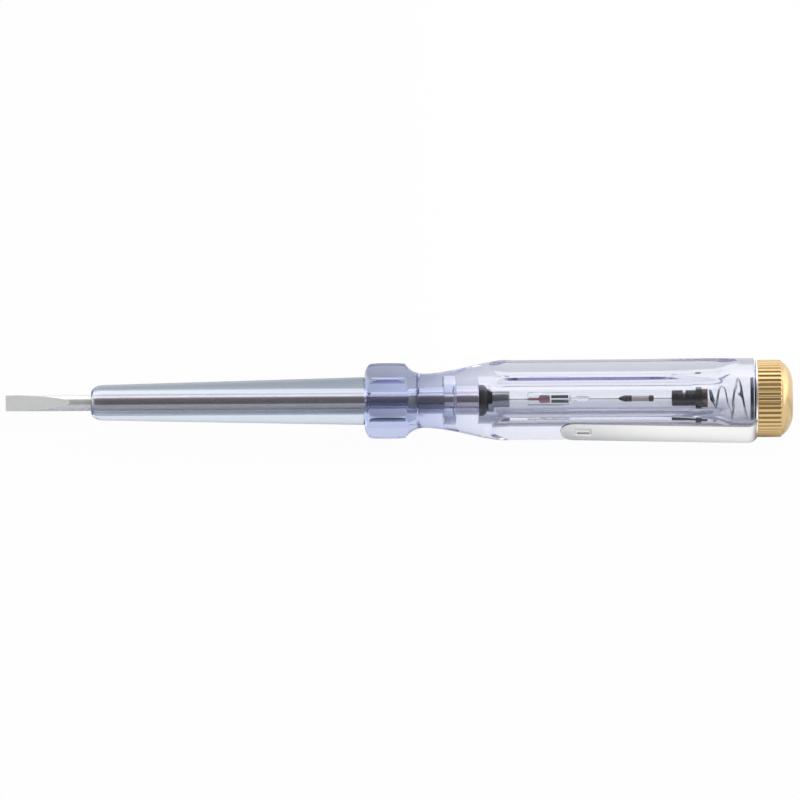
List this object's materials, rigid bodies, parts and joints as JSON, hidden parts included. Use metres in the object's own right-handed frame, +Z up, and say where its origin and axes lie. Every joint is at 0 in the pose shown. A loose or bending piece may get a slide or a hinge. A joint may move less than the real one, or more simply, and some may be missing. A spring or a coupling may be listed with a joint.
{
  "type": "voltage tester screwdriver",
  "caption": "Slim flat-blade screwdriver with a clear insulating sleeve, a clear hexagonal handle showing a glow lamp, resistor and spring, a steel pocket clip and a knurled brass screw cap.",
  "frame": {"origin": "middle of the blade's end face, on the tool's axis", "axes": "+X runs along the tool from the blade's tip to the cap; +Z is up, and one flat of the hexagonal collar and handle faces -Z; the pocket clip lies on the flat that faces -Y and 30 degrees below the horizontal"},
  "size_m": [0.14, 0.0153, 0.0144],
  "materials": {
    "handle_plastic": "clear moulded plastic with a violet tint",
    "sleeve_plastic": "clear moulded plastic, nearly colourless",
    "blade_steel": "nickel-plated, tip ground matt",
    "seal_rubber": "matt black",
    "ferrule_metal": "dark plated",
    "lamp_glass": "clear glass",
    "foot_glass": "red-brown sealing glass",
    "electrode_metal": "dark coated",
    "lead_metal": "tinned wire",
    "resistor_lacquer": "glossy lacquer",
    "resistor_cap_metal": "lacquered end caps",
    "plug_plastic": "black moulded",
    "contact_copper": "aged copper",
    "spring_steel": "bright drawn wire",
    "clip_steel": "satin plated",
    "cap_brass": "turned and knurled"
  },
  "bodies": {
    "handle_assembly": {"handle": "handle_plastic", "insulating_sleeve": "sleeve_plastic", "blade": "blade_steel", "shank_seal": "seal_rubber", "contact_ferrule": "ferrule_metal", "lamp_glass": "lamp_glass", "lamp_foot": "foot_glass", "lamp_electrode_upper": "electrode_metal", "lamp_electrode_lower": "electrode_metal", "lamp_lead_front": "lead_metal", "lamp_lead_rear": "lead_metal", "resistor_front_cap": "resistor_cap_metal", "resistor_body": "resistor_lacquer", "resistor_rear_cap": "resistor_cap_metal", "resistor_lead": "lead_metal", "contact_plug": "plug_plastic", "contact_ring": "contact_copper", "clip_ring": "clip_steel"},
    "spring": {"contact_spring": "spring_steel"},
    "cap": {"cap": "cap_brass"},
    "clip": {"clip_arm": "clip_steel"}
  },
  "joints": [
    {"name": "cap_travel", "type": "slide", "parent": "handle_assembly", "child": "spring", "axis": [1, 0, 0], "range_m": [0, 0.0028], "deforming": ["contact_spring"]},
    {"name": "cap_turn", "type": "hinge", "parent": "spring", "child": "cap", "pos_m": [0.134, 0, 0], "axis": [1, 0, 0], "range_deg": [0, 1440]},
    {"name": "clip_flex", "type": "hinge", "parent": "handle_assembly", "child": "clip", "pos_m": [0.13325, -0.00667, -0.00385], "axis": [0, -0.5, 0.866], "range_deg": [0, 6], "stiffness_Nm_per_rad": 1.5}
  ],
  "couplings": [
    {"joint": "cap_turn", "follows": "cap_travel", "rad_per_m": 8975.9}
  ]
}
